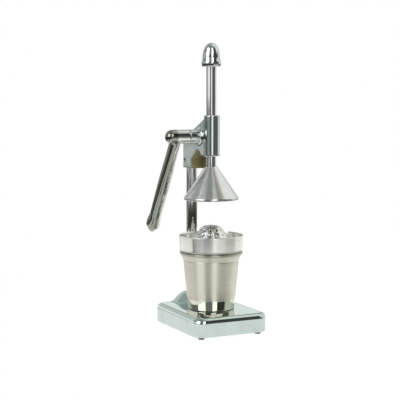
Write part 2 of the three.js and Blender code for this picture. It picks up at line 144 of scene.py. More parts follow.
def skin(field, low, high, step):
    """Vertices and quads on the zero level of a field inside a box, one vertex in each crossed cell."""
    low = np.array(low, float)
    axes = [np.arange(a, b + step, step) for a, b in zip(low, high)]
    value = field(*np.meshgrid(*axes, indexing="ij"))
    inside = value < 0
    size = np.array(value.shape) - 1
    corners = [np.array(c) for c in np.ndindex(2, 2, 2)]
    count = sum(
        inside[c[0] : c[0] + size[0], c[1] : c[1] + size[1], c[2] : c[2] + size[2]].astype(int)
        for c in corners
    )
    cells = np.argwhere((count > 0) & (count < 8))
    index = np.full(size, -1)
    index[tuple(cells.T)] = np.arange(len(cells))

    total = np.zeros((len(cells), 3))
    hits = np.zeros((len(cells), 1))
    for start in corners:
        for axis in range(3):
            if start[axis]:
                continue
            step_along = np.eye(3, dtype=int)[axis]
            a = value[tuple((cells + start).T)]
            b = value[tuple((cells + start + step_along).T)]
            crossed = ((a < 0) != (b < 0))[:, None]
            share = np.where(crossed[:, 0], a / np.where(a == b, 1, a - b), 0)[:, None]
            total += np.where(crossed, start + share * step_along, 0)
            hits += crossed
    points = low + step * (cells + total / hits)

    reach = step * 0.02
    for _ in range(4):
        here = field(*points.T)
        slope = np.stack(
            [
                (field(*(points + reach * e).T) - field(*(points - reach * e).T)) / (2 * reach)
                for e in np.eye(3)
            ],
            axis=1,
        )
        move = slope * (here / np.maximum((slope**2).sum(1), 0.2))[:, None]
        points -= np.clip(move, -step, step)

    faces = []
    for axis in range(3):
        u, v = (axis + 1) % 3, (axis + 2) % 3
        near = [slice(None)] * 3
        far = [slice(None)] * 3
        near[axis], far[axis] = slice(None, -1), slice(1, None)
        a, b = inside[tuple(near)], inside[tuple(far)]
        for crossing, turn in ((a & ~b, 1), (~a & b, -1)):
            at = np.argwhere(crossing)
            at = at[(at[:, u] > 0) & (at[:, v] > 0) & (at[:, u] < size[u]) & (at[:, v] < size[v])]
            ring = []
            for du, dv in ((-1, -1), (0, -1), (0, 0), (-1, 0))[::turn]:
                cell = at.copy()
                cell[:, u] += du
                cell[:, v] += dv
                ring.append(index[tuple(cell.T)])
            faces.append(np.stack(ring, axis=1))
    return points, np.concatenate(faces)


# ---- turned shapes ----

def filleted(corners, steps=6):
    """An outline with its corners rounded: each corner is (radius, height) or (radius, height, fillet)."""
    out = []
    for i, corner in enumerate(corners):
        here = np.array(corner[:2], float)
        fillet = corner[2] if len(corner) > 2 else 0
        if not fillet or i in (0, len(corners) - 1):
            out.append(here)
            continue
        back = np.array(corners[i - 1][:2], float) - here
        ahead = np.array(corners[i + 1][:2], float) - here
        reach = min(np.hypot(*back), np.hypot(*ahead)) * 0.49
        back, ahead = back / np.hypot(*back), ahead / np.hypot(*ahead)
        half = math.acos(max(-1.0, min(1.0, float(back @ ahead)))) / 2
        run = min(fillet / math.tan(half), reach)
        start, end = here + back * run, here + ahead * run
        middle = here + (back + ahead) / np.hypot(*(back + ahead)) * (run / math.cos(half))
        a = math.atan2(*(start - middle)[::-1])
        turn = (math.atan2(*(end - middle)[::-1]) - a + math.pi) % (2 * math.pi) - math.pi
        arc = np.hypot(*(start - middle))
        for k in range(steps + 1):
            angle = a + turn * k / steps
            out.append(middle + arc * np.array([math.cos(angle), math.sin(angle)]))
    return [tuple(p) for p in out]


def smooth_run(stations, count):
    """A smooth outline through (radius, height) stations, as a Catmull-Rom curve."""
    p = np.array([stations[0], *stations, stations[-1]], float)
    out = []
    for i in range(1, len(p) - 2):
        for t in np.linspace(0, 1, count, endpoint=False):
            a = 2 * p[i]
            b = p[i + 1] - p[i - 1]
            c = 2 * p[i - 1] - 5 * p[i] + 4 * p[i + 1] - p[i + 2]
            d = -p[i - 1] + 3 * p[i] - 3 * p[i + 1] + p[i + 2]
            out.append(tuple((a + b * t + c * t * t + d * t**3) / 2))
    out.append(tuple(p[-1]))
    return out


def lathe(outline, sides=160, centre=(0, 0)):
    """Turns an outline of (radius, height) about an upright axis. It starts and ends on the axis or closes."""
    closed = outline[0] == outline[-1]
    rows = outline[:-1] if closed else outline
    angles = np.linspace(0, 2 * math.pi, sides, endpoint=False)
    points, rings = [], []
    for radius, height in rows:
        if radius < 1e-6:
            rings.append([len(points)] * sides)
            points.append((centre[0], centre[1], height))
        else:
            rings.append(list(range(len(points), len(points) + sides)))
            points.extend(
                (centre[0] + radius * math.cos(a), centre[1] + radius * math.sin(a), height)
                for a in angles
            )
    faces = []
    pairs = list(zip(rings, rings[1:])) + ([(rings[-1], rings[0])] if closed else [])
    for lower, upper in pairs:
        for i in range(sides):
            j = (i + 1) % sides
            face = [lower[i], lower[j], upper[j], upper[i]]
            face = [v for k, v in enumerate(face) if v != face[k - 1]]
            if len(face) > 2:
                faces.append(face)
    return np.array(points), faces


def along_x(points, y, z):
    """Lays a shape that was turned about an upright axis down, so that its heights run along X."""
    return np.stack([points[:, 2], y + points[:, 1], z - points[:, 0]], axis=1)


def stack(rings):
    """A closed skin over a pile of rings with equal numbers of points."""
    sides = len(rings[0])
    points = np.concatenate(rings)
    faces = [list(range(sides))[::-1]]
    for k in range(len(rings) - 1):
        for i in range(sides):
            j = (i + 1) % sides
            faces.append([k * sides + i, k * sides + j, (k + 1) * sides + j, (k + 1) * sides + i])
    faces.append([(len(rings) - 1) * sides + i for i in range(sides)])
    return points, faces


# ---- pieces ----

def piece(name, shape, body, material, nodes=(), sharp=35, recalculate=False):
    """A smooth-shaded object of the press, with its edges sharper than an angle kept crisp."""
    points, faces = shape
    mesh = bpy.data.meshes.new(name)
    mesh.from_pydata([tuple(p) for p in place(points)], [], [list(map(int, f)) for f in faces])
    mesh.materials.append(material)
    mesh.validate()
    obj = bpy.data.objects.new(name, mesh)
    bpy.context.scene.collection.objects.link(obj)
    finish_mesh(obj, sharp)
    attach(obj, body)
    if nodes:
        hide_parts(*nodes)
    return obj


def finish_mesh(obj, sharp):
    work = bmesh.new()
    work.from_mesh(obj.data)
    bmesh.ops.recalc_face_normals(work, faces=work.faces)
    limit = math.radians(sharp)
    for face in work.faces:
        face.smooth = True
    for edge in work.edges:
        edge.smooth = len(edge.link_faces) != 2 or edge.calc_face_angle(0) < limit
    work.to_mesh(obj.data)
    work.free()


# ---- materials ----

class Nodes:
    """Short calls for building one material's node tree."""

    def __init__(self, name):
        self.material = bpy.data.materials.new(name)
        self.material.use_nodes = True
        self.tree = self.material.node_tree
        self.shader = self.tree.nodes["Principled BSDF"]
        self.place = self.add("ShaderNodeTexCoord").outputs["Object"]

    def add(self, kind, links=(), **settings):
        node = self.tree.nodes.new(kind)
        for key, value in settings.items():
            if key in node.inputs:
                node.inputs[key].default_value = value
            else:
                setattr(node, key, value)
        for key, source in links:
            self.tree.links.new(source, node.inputs[key])
        return node

    def maths(self, operation, a, b=0.0):
        node = self.add("ShaderNodeMath", operation=operation)
        for socket, value in zip(node.inputs, (a, b)):
            if isinstance(value, (int, float)):
                socket.default_value = value
            else:
                self.tree.links.new(value, socket)
        return node.outputs[0]

    def noise(self, scale, detail=3.0, rough=0.5, vector=None, stretch=None):
        source = vector or self.place
        if stretch:
            mapping = self.add("ShaderNodeMapping", [("Vector", source)])
            mapping.inputs["Scale"].default_value = stretch
            source = mapping.outputs[0]
        node = self.add("ShaderNodeTexNoise", [("Vector", source)])
        node.inputs["Scale"].default_value = scale
        node.inputs["Detail"].default_value = detail
        node.inputs["Roughness"].default_value = rough
        return node.outputs[0]

    def ramp(self, value, low, high, out_low, out_high):
        node = self.add("ShaderNodeMapRange", [("Value", value)])
        for key, number in zip(("From Min", "From Max", "To Min", "To Max"), (low, high, out_low, out_high)):
            node.inputs[key].default_value = number
        return node.outputs[0]

    def mix(self, share, a, b):
        node = self.add("ShaderNodeMix", data_type="RGBA")
        self.tree.links.new(share, node.inputs[0])
        for socket, value in ((node.inputs[6], a), (node.inputs[7], b)):
            if isinstance(value, tuple):
                socket.default_value = (*value, 1.0)
            else:
                self.tree.links.new(value, socket)
        return node.outputs[2]

    def bump(self, height, strength, distance):
        node = self.add("ShaderNodeBump", [("Height", height)])
        node.inputs["Strength"].default_value = strength
        node.inputs["Distance"].default_value = distance
        return node.outputs[0]

    def chain_bump(self, height, strength, distance, normal):
        node = self.add("ShaderNodeBump", [("Height", height), ("Normal", normal)])
        node.inputs["Strength"].default_value = strength
        node.inputs["Distance"].default_value = distance
        return node.outputs[0]

    def split_place(self):
        return self.add("ShaderNodeSeparateXYZ", [("Vector", self.place)]).outputs

    def in_box(self, low, high, soft):
        """1 inside a box given in press space, 0 outside, with a soft edge in millimetres."""
        share = 1.0
        for axis, a, b in zip(self.split_place(), place(low), place(high)):
            rise = self.ramp(axis, float(a) - soft * MM, float(a) + soft * MM, 0.0, 1.0)
            fall = self.ramp(axis, float(b) - soft * MM, float(b) + soft * MM, 1.0, 0.0)
            share = self.maths("MULTIPLY", share, self.maths("MULTIPLY", rise, fall))
        return share

    def connect(self, socket, value):
        self.tree.links.new(value, self.shader.inputs[socket])

    def set(self, **values):
        for key, value in values.items():
            socket = self.shader.inputs[key.replace("_", " ").title().replace("Ior", "IOR")]
            socket.default_value = (*value, 1.0) if isinstance(value, tuple) else value


def chrome(name, color, wave=0.12, wave_scale=45.0, roughness=(0.02, 0.07), recess=None, recess_depth=0.0, outer=None):
    """Bright plating: faint clouding and wiping marks, with a slight swell left by the casting's polish.

    recess is a box, low and high corner in press space, where the colour turns brownish and dull: partly
    unplated casting, partly painted shade in the recess, darkest as painted shade on the face at
    recess_depth in X. outer is the X below which the plating is tinted dark as painted shade, and its tint.
    """
    n = Nodes(name)
    n.set(metallic=1.0)
    cloud = n.noise(60.0, 4.0, 0.6)
    dull = tuple(c * 0.9 for c in color)
    plated = n.mix(n.ramp(cloud, 0.35, 0.7, 0.0, 1.0), color, dull)
    wipes = n.noise(240.0, 6.0, 0.65, stretch=(1.0, 1.0, 0.25))
    rough = n.ramp(wipes, 0.3, 0.75, roughness[0], roughness[1])
    # Painted shade: left of the outer X the plating is tinted dark, standing in for the dark reflection on that side.
    if outer:
        edge = float(place((outer[0], 0, 0))[0])
        wander = n.ramp(n.noise(70.0, 3.0, 0.5), 0.3, 0.7, -0.6 * MM, 0.6 * MM)
        painted_side_shade = n.ramp(n.maths("ADD", n.split_place()[0], wander), edge - 0.5 * MM, edge + 0.5 * MM, 1.0, 0.0)
        plated = n.mix(painted_side_shade, plated, outer[1])
    # Partly unplated casting, partly painted shade: the recess turns brownish and dull, darkest as painted shade on
    # the face at recess_depth in X.
    if recess:
        bare_and_shade = n.in_box(*recess, 0.35)
        edge = float(place((recess_depth, 0, 0))[0])
        deep_shade = n.ramp(n.split_place()[0], edge - 0.6 * MM, edge - 0.2 * MM, 0.0, 1.0)
        stain = n.ramp(n.noise(220.0, 4.0, 0.6), 0.35, 0.7, 0.0, 1.0)
        brown_and_shade = n.mix(deep_shade, n.mix(stain, (0.47, 0.42, 0.2), (0.36, 0.35, 0.16)), (0.22, 0.19, 0.11))
        plated = n.mix(bare_and_shade, plated, brown_and_shade)
        rough = n.maths("ADD", rough, n.maths("MULTIPLY", bare_and_shade, 0.5))
        n.connect("Metallic", n.maths("SUBTRACT", 1.0, n.maths("MULTIPLY", bare_and_shade, 0.75)))
    n.connect("Base Color", plated)
    n.connect("Roughness", rough)
    swell = n.noise(wave_scale, 2.0, 0.4)
    first = n.bump(swell, wave, 0.0012)
    n.connect("Normal", n.chain_bump(n.noise(1800.0, 3.0, 0.6), 0.05, 0.00004, first))
    return n.material


def turned_metal(
    name, color, second, roughness, line_scale, line_depth, anisotropy, polish_below=None, seam_shade=None
):
    """Metal brushed or turned round the ram's axis: fine rings, with a tone that drifts round the piece.

    polish_below is a height in metres: under it the rings stop and the metal is a mirror. The seam
    argument is a band of heights in press space that is tinted dark as painted shade, where cup and strainer meet.
    """
    n = Nodes(name)
    n.set(metallic=1.0, anisotropic=anisotropy, anisotropic_rotation=0.25)
    split = n.add("ShaderNodeSeparateXYZ", [("Vector", n.place)])
    x = n.maths("SUBTRACT", split.outputs[0], float(ORIGIN[0]))
    y = n.maths("SUBTRACT", split.outputs[1], float(ORIGIN[1]))
    z = split.outputs[2]
    radius = n.maths("SQRT", n.maths("ADD", n.maths("MULTIPLY", x, x), n.maths("MULTIPLY", y, y)))
    angle = n.maths("ARCTAN2", y, x)
    turn = n.add("ShaderNodeCombineXYZ", [("X", radius), ("Y", z), ("Z", n.maths("MULTIPLY", angle, 0.004))])
    rings = n.noise(line_scale, 5.0, 0.7, vector=turn.outputs[0])
    broad = n.noise(line_scale * 0.12, 3.0, 0.6, vector=turn.outputs[0])
    drift = n.noise(40.0, 2.0, 0.5)
    tone = n.maths("ADD", n.maths("MULTIPLY", rings, 0.55), n.maths("MULTIPLY", broad, 0.45))
    surface = n.mix(n.ramp(tone, 0.35, 0.68, 0.0, 1.0), second, color)
    # Painted shade: a band of heights is tinted dark where cup and strainer meet.
    if seam_shade:
        above = n.ramp(z, (seam_shade[0] - 0.7) * MM, (seam_shade[0] + 0.7) * MM, 0.0, 0.5)
        below = n.ramp(z, (seam_shade[1] - 0.5) * MM, (seam_shade[1] + 0.5) * MM, 1.0, 0.0)
        surface = n.mix(n.maths("MULTIPLY", above, below), surface, (0.2, 0.19, 0.155))
    n.connect("Base Color", surface)
    rough = n.maths("ADD", n.ramp(rings, 0.3, 0.7, roughness[0], roughness[1]), n.ramp(drift, 0.3, 0.7, -0.02, 0.02))
    depth = rings
    if polish_below is not None:
        edge = n.maths("ADD", z, n.ramp(n.noise(30.0, 2.0), 0.3, 0.7, -0.0006, 0.0006))
        brushed = n.ramp(edge, polish_below - 0.0005, polish_below + 0.0009, 0.0, 1.0)
        rough = n.maths("ADD", n.maths("MULTIPLY", rough, brushed), 0.03)
        depth = n.maths("MULTIPLY", rings, brushed)
    n.connect("Roughness", rough)
    tangent = n.add("ShaderNodeTangent", direction_type="RADIAL", axis="Z")
    n.tree.links.new(tangent.outputs[0], n.shader.inputs["Tangent"])
    n.connect("Normal", n.bump(depth, line_depth, 0.00008))
    return n.material


def plain_metal(name, color, roughness):
    """Small steel and bronze pieces: machined, with fine marks and a little staining."""
    n = Nodes(name)
    n.set(metallic=1.0)
    stain = n.noise(180.0, 5.0, 0.6)
    n.connect("Base Color", n.mix(n.ramp(stain, 0.35, 0.7, 0.0, 1.0), color, tuple(c * 0.7 for c in color)))
    n.connect("Roughness", n.ramp(n.noise(600.0, 4.0, 0.6), 0.3, 0.7, roughness - 0.08, roughness + 0.1))
    n.connect("Normal", n.bump(n.noise(2500.0, 4.0, 0.7), 0.2, 0.00005))
    return n.material


def rubber(name, color):
    n = Nodes(name)
    n.set(specular_ior_level=0.35)
    dust = n.noise(300.0, 5.0, 0.7)
    n.connect("Base Color", n.mix(n.ramp(dust, 0.4, 0.75, 0.0, 1.0), color, tuple(c * 1.35 for c in color)))
    n.connect("Roughness", n.ramp(n.noise(900.0, 3.0, 0.6), 0.3, 0.7, 0.6, 0.85))
    n.connect("Normal", n.bump(n.noise(3000.0, 4.0, 0.7), 0.4, 0.00006))
    return n.material


base_chrome = chrome("base_chrome", (0.58, 0.66, 0.625), wave=0.05, wave_scale=28.0)
# In the arch recess the head turns brownish, partly as unplated casting and partly as painted shade, darkest as
# painted shade on the right cheek's inner face.
head_chrome = chrome(
    "head_chrome", (0.61, 0.66, 0.63), wave=0.1, recess=((-10, 9.6, 221), (10, 42.2, 250.9)), recess_depth=5.2
)
post_chrome = chrome("post_chrome", (0.62, 0.62, 0.59), wave=0.02, roughness=(0.03, 0.08))
rod_chrome = chrome("rod_chrome", (0.70, 0.70, 0.69), wave=0.02, roughness=(0.03, 0.08))
knob_chrome = chrome("knob_chrome", (0.66, 0.70, 0.67), wave=0.04)
# The lever's left side is tinted dark: painted shade and painted dark reflection.
lever_chrome = chrome(
    "lever_chrome", (0.70, 0.73, 0.69), wave=0.2, wave_scale=90.0, outer=(-46.6, (0.3, 0.31, 0.27))
)
cone_metal = turned_metal(
    "cone_aluminium", (0.80, 0.79, 0.765), (0.69, 0.68, 0.665), (0.17, 0.23), 2600.0, 0.2, 0.85
)
# Cup and strainer each get a dark band where they meet: painted shade.
cup_metal = turned_metal(
    "cup_steel", (0.735, 0.715, 0.61), (0.64, 0.62, 0.525), (0.33, 0.4), 3200.0, 0.3, 0.93,
    polish_below=(CUP_LOW[2] + 14) * MM, seam_shade=(106, 112),
)
strainer_metal = turned_metal(
    "strainer_steel", (0.84, 0.845, 0.79), (0.76, 0.765, 0.71), (0.2, 0.28), 3000.0, 0.2, 0.85,
    seam_shade=(100, 113.4),
)
steel = plain_metal("plain_steel", (0.42, 0.43, 0.44), 0.32)
gear_metal = plain_metal("gear_steel", (0.36, 0.37, 0.38), 0.34)
bronze = plain_metal("bush_bronze", (0.42, 0.28, 0.12), 0.4)
foot_rubber = rubber("foot_rubber", (0.16, 0.165, 0.16))


# ---- base ----

BASE_TOP = 29.7
BASE_BOTTOM = BASE_LOW[2]
BASE_BACK = 75.1
HUMP_HEIGHT = BASE_HIGH[2] - BASE_TOP


def base_plan(x, y, inset):
    box = rectangle(
        x, y, (BASE_LOW[0] + inset, BASE_LOW[1] + inset), (BASE_HIGH[0] - inset, BASE_BACK - inset), 16 - inset
    )
    lobe = np.hypot(x, y - COLUMN_Y) - (BASE_HIGH[1] - COLUMN_Y - inset)
    return round_min(box, lobe, 9)


def hump(x, y):
    """How far the top rises round the column: a bell."""
    r = np.hypot(x, y - COLUMN_Y)
    return HUMP_HEIGHT * 0.5 * (1 + np.cos(np.pi * np.clip((r - 9.5) / 23, 0, 1)))


def base_field(x, y, z):
    outside = round_max(base_plan(x, y, 0), (z - BASE_TOP - hump(x, y)) * 0.85, 6.5)
    outside = round_max(outside, BASE_BOTTOM - z, 0.6)
    hollow = round_max(base_plan(x, y, 3), z - BASE_TOP + 3, 3.5)
    shell = round_max(outside, -hollow, 0.5)
    solid = np.maximum(round_max(np.hypot(x, y - COLUMN_Y) - 14, 19 - z, 1), z - BASE_TOP + 1.2)
    holes = np.hypot(x, y - COLUMN_Y) - 4.5
    for node in FOOT_NODES:
        foot = (centre_of(node) - Vector(ORIGIN)) / MM
        r = np.hypot(x - foot.x, y - foot.y)
        post = round_max(r - 6, BASE_BOTTOM + 0.3 - z, 0.4)
        solid = np.minimum(solid, np.maximum(post, z - BASE_TOP + 1.2))
        holes = np.minimum(holes, np.maximum(r - 2, z - 12.3))
    solid = np.maximum(round_min(shell, solid, 1.2), outside)
    bore = np.maximum(np.hypot(x, y - COLUMN_Y) - COLUMN_R - 0.25, COLUMN_LOW[2] - 0.3 - z)
    return round_max(solid, -np.minimum(bore, np.maximum(holes, z - COLUMN_LOW[2])), 0.3)


piece(
    "base",
    skin(base_field, BASE_LOW - 2, BASE_HIGH + 2, 1.15),
    "stand",
    base_chrome,
    ["base_shell"],
    sharp=50,
)
for node in FOOT_NODES:
    low, high = span(node)
    middle = (low + high) / 2
    r = (high[0] - low[0]) / 2
    outline = filleted(
        [(0, 0.25), (r - 2.2, 0.25), (r - 1.9, 0), (r, 0, 0.9), (r, BASE_BOTTOM, 0.4), (1.7, BASE_BOTTOM, 0.3),
         (1.7, high[2], 0.3), (0, high[2])]
    )
    piece(node + "_rubber", lathe(outline, 48, middle[:2]), "stand", foot_rubber, [node])


# ---- column and head ----

def bar_outline(radius, low, high, edge):
    return filleted([(0, low), (radius, low, edge), (radius, high, edge), (0, high)])


piece(
    "column_post",
    lathe(bar_outline(COLUMN_R, COLUMN_LOW[2], COLUMN_HIGH[2], 0.6), 96, (0, COLUMN_Y)),
    "stand",
    post_chrome,
    ["column"],
)

SLEEVE_R = HEAD_HIGH[0]
SLEEVE_Y = HEAD_LOW[1] + SLEEVE_R
SLEEVE_BOTTOM = 242.3
WEB_HALF = 11.0
CHEEK_INSIDE = 5.2
HEAD_BACK = HEAD_HIGH[1]
BLOCK_FRONT, BLOCK_BOTTOM = 41.8, HEAD_LOW[2]


def curve(start, bend, end, count=8):
    return [
        tuple((1 - t) ** 2 * np.array(start) + 2 * t * (1 - t) * np.array(bend) + t * t * np.array(end))
        for t in np.linspace(0, 1, count)
    ]


HEAD_SIDE = [
    (0.0, SLEEVE_BOTTOM),
    (10.5, SLEEVE_BOTTOM),
    (14.0, 235.0),
    (27.0, BLOCK_BOTTOM),
    (HEAD_BACK, BLOCK_BOTTOM),
    (HEAD_BACK, 262.0),
    (3.3, 293.0),
    (0.0, 294.0),
]
# The arch is open on the left and ends at the inner face of the right cheek.
ARCH_TOP = 250.2
HEAD_ARCH = [
    (3.0, 241.5),
    *curve((10.2, 242), (14.5, ARCH_TOP), (21, ARCH_TOP)),
    *curve((21, ARCH_TOP), (33, 249.4), (BLOCK_FRONT, 236))[1:],
    (BLOCK_FRONT, BLOCK_BOTTOM - 20),
    (3.0, BLOCK_BOTTOM - 20),
]


BOSS_R = 9.6
HUB_R = 9.6


def head_field(x, y, z):
    side = polygon(y, z, HEAD_SIDE)
    plan = rectangle(x, y, (-WEB_HALF, -30), (WEB_HALF, HEAD_BACK), 6)
    arch = round_max(polygon(y, z, HEAD_ARCH), x - CHEEK_INSIDE, 0.8)
    web = round_max(round_max(side, plan, 1.3), -arch, 0.6)
    sleeve = np.hypot(x, y - SLEEVE_Y) - SLEEVE_R
    sleeve = round_max(sleeve, np.maximum(z - HEAD_HIGH[2], SLEEVE_BOTTOM - z), 1.1)
    from_shaft = np.hypot(y - SHAFT_Y, z - SHAFT_Z)
    boss = round_max(from_shaft - BOSS_R, np.maximum(HEAD_LOW[0] - x, x), 0.5)
    casting = round_min(round_min(web, boss, 4), sleeve, 1.5)
    bores = np.minimum(np.hypot(x, y) - ROD_R - 0.25, np.maximum(from_shaft - 13.2, -6.8 - x))
    bores = np.minimum(bores, from_shaft - 6.3 + np.where(x < -6.8, 0, 100))
    bores = np.minimum(bores, np.maximum(np.hypot(x, y - COLUMN_Y) - COLUMN_R - 0.25, z - COLUMN_HIGH[2]))
    screw = np.maximum(np.hypot(y - COLUMN_Y, z - 233.3) - 2.8, x + 7)
    return round_max(casting, -np.minimum(bores, screw), 0.45)


piece(
    "head",
    skin(head_field, HEAD_LOW - 1.5, HEAD_HIGH + 1.5, 0.75),
    "stand",
    head_chrome,
    ["head_casting"],
    sharp=50,
)


def turned_on_shaft(outline, sides=96):
    points, faces = lathe(outline, sides)
    return along_x(points, SHAFT_Y, SHAFT_Z), faces


cap_low, cap_high = span("bearing_cap")
cap_r = (cap_high[1] - cap_low[1]) / 2
piece(
    "shaft_cap",
    turned_on_shaft(
        filleted([(0, cap_low[0] + 3.4), (6.3, cap_low[0] + 3.4), (6.3, cap_low[0]), (cap_r, cap_low[0], 0.4),
                  (cap_r, cap_high[0] - 0.9, 0.7), (cap_r - 2.6, cap_high[0], 1.6), (4.2, cap_high[0], 0.4),
                  (3.6, cap_high[0] - 0.6, 0.4), (0, cap_high[0] - 0.6)])
    ),
    "stand",
    head_chrome,
    ["bearing_cap"],
)


# ---- lever ----

TILT = math.radians(32.2)
LEVER_X = -45.6
HUB_RIGHT = LEVER_HIGH[0]
HUB_LEFT = LEVER_LOW[0]


def lever_field(x, y, z):
    dy, dz = y - SHAFT_Y, z - SHAFT_Z
    along = dy * math.sin(TILT) - dz * math.cos(TILT)
    across = dy * math.cos(TILT) + dz * math.sin(TILT)
    aside = x - LEVER_X
    half_x = 6.5 + 1.2 * ease(20, 85, along) - 0.3 * ease(110, 138, along)
    half_u = 9.0 + 0.45 * ease(20, 85, along) - 0.25 * ease(110, 138, along)
    power = 2.5
    spread = (np.abs(aside / half_x) ** power + np.abs(across / half_u) ** power) ** (1 / power)
    blade = np.maximum((spread - 1) * half_x, np.maximum(-along, along - 153.4))
    bulb_spread = np.sqrt((aside / 8.45) ** 2 + (across / 9.9) ** 2 + ((along - 151.9) / 13.4) ** 2)
    bulb = (bulb_spread - 1) * 8.45
    ball = np.sqrt(dy**2 + dz**2 + (x - HUB_LEFT - HUB_R) ** 2) - HUB_R
    hub = round_max(np.hypot(dy, dz) - HUB_R, np.maximum(HUB_LEFT + HUB_R - x, x - HUB_RIGHT), 0.5)
    hub = np.minimum(hub, ball)
    handle = round_min(round_min(hub, blade, 1.6), bulb, 5)
    bore = np.maximum(np.hypot(dy, dz) - 4.8, HUB_RIGHT - 24.5 - x)
    screw = np.maximum(np.hypot(x + 35, along) - 2.8, -across)
    return round_max(handle, -np.minimum(bore, screw), 0.35)


piece(
    "lever",
    skin(lever_field, LEVER_LOW - 1.5, LEVER_HIGH + 1.5, 0.95),
    "lever",
    lever_chrome,
    ["lever_handle"],
    sharp=50,
)


# ---- ram ----

RACK_Y = SHAFT_Y - 11.25
PITCH = 1.5 * math.pi


def rack_height(z):
    """Where the rod's rear is cut off at a height, in Y: tooth tips, flanks and gaps of the rack."""
    first, last = SHAFT_Z - 2.5 * PITCH, SHAFT_Z + 14.5 * PITCH
    if z < first - 0.05 or z > last + 0.05:
        return ROD_R
    phase = abs((z - SHAFT_Z) / PITCH - round((z - SHAFT_Z) / PITCH)) * PITCH
    at_pitch = PITCH / 4 + 0.075
    slope = math.tan(math.radians(20))
    return float(np.clip(RACK_Y + (phase - at_pitch) / slope, RACK_Y - 1.875, RACK_Y + 1.35))


def rod_ring(radius, z, cut):
    """One section of the rod: a circle of fixed points in front, and a flat behind where it is cut."""
    half = math.asin(min(cut, radius) / radius)
    front = np.linspace(math.pi - 0.35, 2 * math.pi + 0.35, 84)
    left = np.linspace(math.pi - half, math.pi - 0.35, 8, endpoint=False)
    right = np.linspace(2 * math.pi + 0.35, 2 * math.pi + half, 9)[1:]
    angles = [*left, *front, *right]
    ring = [(radius * math.cos(a), radius * math.sin(a), z) for a in angles]
    reach = radius * math.cos(half)
    flat = [(x, radius * math.sin(half), z) for x in np.linspace(reach, -reach, 9)[1:-1]]
    return np.array(ring + flat)


def rod_heights():
    slope = math.tan(math.radians(20))
    marks = [ROD_LOW[2] + 0.6, ROD_HIGH[2] - 0.6]
    for gap in range(-2, 15):
        middle = SHAFT_Z + gap * PITCH
        for level in (-1.875, 1.35):
            half = PITCH / 4 + 0.075 + level * slope
            marks += [middle - half, middle + half]
    first, last = SHAFT_Z - 2.5 * PITCH, SHAFT_Z + 14.5 * PITCH
    return sorted(marks), (first, last)


marks, (rack_low, rack_high) = rod_heights()
rings = [rod_ring(ROD_R - 0.6, ROD_LOW[2], ROD_R - 0.7)]
for z in sorted(marks + [rack_low - 0.06, rack_low, rack_high, rack_high + 0.06]):
    rings.append(rod_ring(ROD_R, z, min(rack_height(z), ROD_R - 0.02)))
rings.append(rod_ring(ROD_R - 0.6, ROD_HIGH[2], ROD_R - 0.7))
piece("ram_bar", stack(rings), "ram", rod_chrome, ["ram_rod"], sharp=22)

knob_side = smooth_run(
    [(13.1, 366.4), (13.55, 369), (13.45, 371.8), (12.75, 374.6), (12.25, 377.2), (12.1, 380), (11.6, 384.5),
     (10.5, 389), (8.6, 393), (5.6, 396.1), (2.4, 397.45), (0, 397.7)],
    8,
)
piece(
    "knob",
    lathe(filleted([(0, 380), (7.3, 380), (7.3, 365.4), (12.2, 365.4, 0.8), (13.1, 366.4)])[:-1] + knob_side),
    "ram",
    knob_chrome,
    ["ram_knob"],
)

cone_top, rim_low, rim_r = CONE_HIGH[2], CONE_LOW[2], CONE_HIGH[0]
cone_outline = filleted(
    [(7.25, 219), (7.25, cone_top, 0.5), (8.6, cone_top, 0.5), (9.3, cone_top - 0.9, 0.6), (rim_r - 0.15, 185.2, 1.4),
     (rim_r, 184.2, 0.5), (rim_r, rim_low + 0.5, 0.45), (rim_r - 0.5, rim_low, 0.45), (rim_r - 1.9, rim_low, 0.5),
     (rim_r - 2, 184.1, 0.6), (11, 221.1, 0.8), (11, 215.5, 0.5), (2.8, 215.5), (2.8, 219), (7.25, 219)],
)
piece("cone", lathe(cone_outline, 200), "ram", cone_metal, ["press_cone"], sharp=40)


# ---- cup and strainer ----

cup_outline = filleted(
    [(0, 30.6), (26, 30.6, 2), (28, CUP_LOW[2], 0.6), (32.3, CUP_LOW[2], 1.3), (38.75, 96.8, 0.6),
     (38.45, 98.3, 0.5), (39.3, 99.4, 0.7), (42.9, 106.6, 0.8), (CUP_HIGH[0], 107.4, 0.8),
     (CUP_HIGH[0] - 0.1, 109.0, 0.9), (43.0, CUP_HIGH[2], 0.5), (42.3, CUP_HIGH[2], 0.4), (42.0, 108.6, 0.6),
     (37.7, 99.8, 2.2), (31.2, 34.6, 3), (28, 32, 2), (0, 32)],
)
piece("cup_shell", lathe(cup_outline, 200), "cup", cup_metal, ["cup"], sharp=40)

dome_top = STRAINER_HIGH[2]
collar_r = STRAINER_HIGH[0]
DOME_SIDE = smooth_run(
    [(38, 114.9), (34.4, 116), (31, 118.2), (28.2, 121.6), (25.4, 126), (22.6, 130.6), (20.2, 134.4), (18, 138),
     (15.2, 141.6), (11.6, 144.5), (6, 146.2), (0, dome_top)],
    8,
)
under_dome = [(max(r - 1.0, 0), z - 1.15) for r, z in DOME_SIDE[::-1]]
strainer_outline = (
    under_dome
    + filleted(
        [(37.2, 113.6), (37.3, 112.2, 0.8), (36.8, 104), (38, 104, 0.3), (40.4, 109.4, 0.5), (41, 110.3, 0.4),
         (42.6, 110.3, 0.5), (43.85, 112.3, 1.2), (44.9, 131.2, 0.6), (collar_r, 132.2, 0.4), (44.5, 133, 0.5),
         (43.7, 133, 0.5), (43.2, 131.6, 0.6), (42.2, 115.8, 1.4), (40.6, 114.8, 1), (38, 114.9)]
    )[:-1]
    + DOME_SIDE
)

